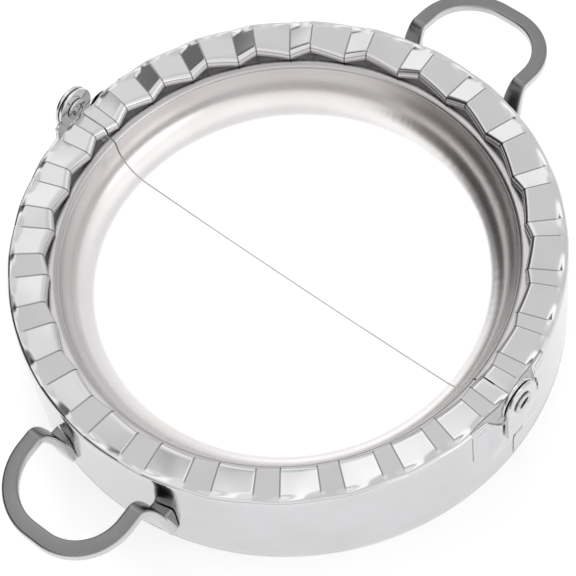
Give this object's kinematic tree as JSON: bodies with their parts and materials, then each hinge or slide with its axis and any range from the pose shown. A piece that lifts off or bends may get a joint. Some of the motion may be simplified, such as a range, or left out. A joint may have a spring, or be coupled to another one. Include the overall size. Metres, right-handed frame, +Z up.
{
  "type": "hinged dumpling and empanada press",
  "caption": "Polished steel pastry press lying open: hinged half rings with fluted crimping rims, half bowls, standing cutting edges and loop handles.",
  "frame": {"origin": "Middle of the round outline of the open press, on the surface that the two cutting edges stand on.", "axes": "+X runs along the hinge line, +Y points at the rear half's handle, and +Z is up, out of the half bowls."},
  "size_m": [0.0998, 0.13, 0.0252],
  "materials": {
    "polished_steel": "bright polished stainless steel sheet",
    "satin_steel": "softly polished pressed stainless steel",
    "handle_steel": "tumbled bright stainless steel bar",
    "rivet_steel": "bright rolled tubular rivet"
  },
  "bodies": {
    "front_half": {"front_crimping_shell": "polished_steel", "front_half_bowl": "satin_steel", "front_loop_handle": "handle_steel", "right_hinge_rivet": "rivet_steel", "left_hinge_rivet": "rivet_steel"},
    "rear_half": {"rear_crimping_shell": "polished_steel", "rear_half_bowl": "satin_steel", "rear_loop_handle": "handle_steel"}
  },
  "joints": [
    {"name": "fold", "type": "hinge", "parent": "front_half", "child": "rear_half", "pos_m": [0, 0, 0.0214], "axis": [1, 0, 0], "range_deg": [0, 180]}
  ]
}
